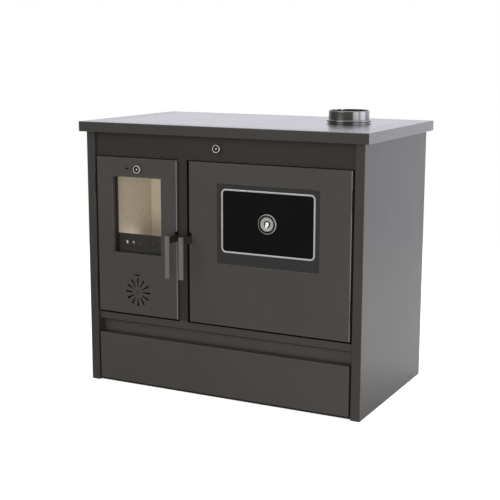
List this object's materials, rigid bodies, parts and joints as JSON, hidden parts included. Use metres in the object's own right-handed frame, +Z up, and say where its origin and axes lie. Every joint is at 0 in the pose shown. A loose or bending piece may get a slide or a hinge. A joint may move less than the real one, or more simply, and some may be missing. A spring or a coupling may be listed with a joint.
{
  "type": "wood cookstove",
  "caption": "Wood-burning cookstove: glazed firebox door with air rosette, oven with window and thermometer, fuel drawer, steel hob with lift-out plate and round flue collar.",
  "frame": {"origin": "on the floor, under the centre of the body's plan", "axes": "+X to the oven side (right, seen from the front), +Y to the back, +Z up; the doors face -Y"},
  "size_m": [0.984, 0.6259, 0.89],
  "materials": {
    "door_paint": "satin stove paint, warm dark grey",
    "side_paint": "satin-gloss stove paint, dark grey",
    "carcass_paint": "satin stove paint, near black",
    "hob_rim_steel": "ground bright, satin",
    "hob_plate_steel": "ground bright, fine lines across, satin",
    "collar_iron": "burnished dark, semi-gloss",
    "inner_steel": "plain sheet, dull",
    "oven_enamel": "grey speckled enamel, smooth",
    "knob_steel": "polished steel",
    "trim_chrome": "bright polished",
    "grip_steel": "fine satin",
    "grate_iron": "rough sand-cast",
    "fire_board": "pressed vermiculite board, matt buff",
    "rope_seal": "woven glass rope",
    "fire_glass": "clear heat-proof ceramic",
    "black_glass": "black tinted, polished",
    "surround_enamel": "matt cool grey",
    "dial_black": "matt black dial"
  },
  "bodies": {
    "stove_body": {"base_pan": "carcass_paint", "left_side_panel": "side_paint", "right_side_panel": "side_paint", "back_panel": "carcass_paint", "front_frame": "carcass_paint", "drawer_bay_roof": "carcass_paint", "hob_frame": "hob_rim_steel", "hob_plate_right": "hob_plate_steel", "flue_collar": "collar_iron", "flue_duct": "inner_steel", "firebox_shell": "inner_steel", "firebox_lining_left": "fire_board", "firebox_lining_right": "fire_board", "firebox_lining_back": "fire_board", "fire_grate": "grate_iron", "log_retainer": "grate_iron", "ash_pan": "inner_steel", "oven_box": "oven_enamel", "oven_rack": "knob_steel", "drawer_rail_left": "inner_steel", "drawer_rail_right": "inner_steel", "firebox_door_lower_hinge_pin": "carcass_paint", "firebox_door_upper_hinge_pin": "carcass_paint", "oven_door_lower_hinge_pin": "carcass_paint", "oven_door_upper_hinge_pin": "carcass_paint"},
    "firebox_door": {"firebox_door_skin": "door_paint", "firebox_window_reveal": "door_paint", "firebox_window_glass": "fire_glass", "firebox_glass_retainer": "carcass_paint", "firebox_door_liner": "inner_steel", "firebox_door_gasket": "rope_seal", "primary_air_rivet": "inner_steel", "firebox_door_handle_pivot": "inner_steel", "firebox_door_lower_hinge_knuckle": "carcass_paint", "firebox_door_upper_hinge_knuckle": "carcass_paint"},
    "firebox_handle": {"firebox_door_handle_arm": "carcass_paint", "firebox_door_handle_grip": "grip_steel"},
    "primary_air": {"primary_air_disc": "carcass_paint"},
    "secondary_air": {"secondary_air_slider": "inner_steel", "secondary_air_knob": "knob_steel"},
    "oven_door": {"oven_door_skin": "door_paint", "oven_window_surround": "surround_enamel", "oven_window_glass": "black_glass", "oven_window_trim": "trim_chrome", "oven_door_liner": "inner_steel", "oven_inner_glass": "black_glass", "oven_door_gasket": "rope_seal", "thermometer_case": "trim_chrome", "thermometer_dial": "dial_black", "oven_door_handle_pivot": "inner_steel", "oven_door_lower_hinge_knuckle": "carcass_paint", "oven_door_upper_hinge_knuckle": "carcass_paint"},
    "oven_handle": {"oven_door_handle_arm": "carcass_paint", "oven_door_handle_grip": "grip_steel"},
    "thermometer_pointer": {"thermometer_needle": "trim_chrome"},
    "drawer": {"drawer_front": "door_paint", "drawer_box": "inner_steel"},
    "damper": {"damper_plate_and_rod": "inner_steel", "damper_knob": "knob_steel"},
    "hob_plate": {"hob_plate_left": "hob_plate_steel"}
  },
  "joints": [
    {"name": "firebox_door_hinge", "type": "hinge", "parent": "stove_body", "child": "firebox_door", "pos_m": [-0.4405, -0.272, 0.49], "axis": [0, 0, -1], "range_deg": [0, 110]},
    {"name": "oven_door_hinge", "type": "hinge", "parent": "stove_body", "child": "oven_door", "pos_m": [0.4405, -0.272, 0.49], "axis": [0, 0, 1], "range_deg": [0, 110]},
    {"name": "firebox_handle_lift", "type": "hinge", "parent": "firebox_door", "child": "firebox_handle", "pos_m": [-0.1474, -0.2676, 0.499], "axis": [-1, 0, 0], "range_deg": [0, 30]},
    {"name": "oven_handle_lift", "type": "hinge", "parent": "oven_door", "child": "oven_handle", "pos_m": [-0.0946, -0.2676, 0.499], "axis": [-1, 0, 0], "range_deg": [0, 30]},
    {"name": "primary_air_turn", "type": "hinge", "parent": "firebox_door", "child": "primary_air", "pos_m": [-0.29, -0.2697, 0.311], "axis": [0, 1, 0], "range_deg": [0, 15]},
    {"name": "secondary_air_slide", "type": "slide", "parent": "firebox_door", "child": "secondary_air", "axis": [-1, 0, 0], "range_m": [0, 0.009]},
    {"name": "thermometer_needle_turn", "type": "hinge", "parent": "oven_door", "child": "thermometer_pointer", "pos_m": [0.1695, -0.276, 0.56675], "axis": [0, 1, 0], "range_deg": [0, 320]},
    {"name": "drawer_slide", "type": "slide", "parent": "stove_body", "child": "drawer", "axis": [0, -1, 0], "range_m": [0, 0.4]},
    {"name": "damper_pull", "type": "slide", "parent": "stove_body", "child": "damper", "axis": [0, -1, 0], "range_m": [0, 0.06]},
    {"name": "hob_plate_lift", "type": "slide", "parent": "stove_body", "child": "hob_plate", "axis": [0, 0, 1], "range_m": [0, 0.1]}
  ]
}
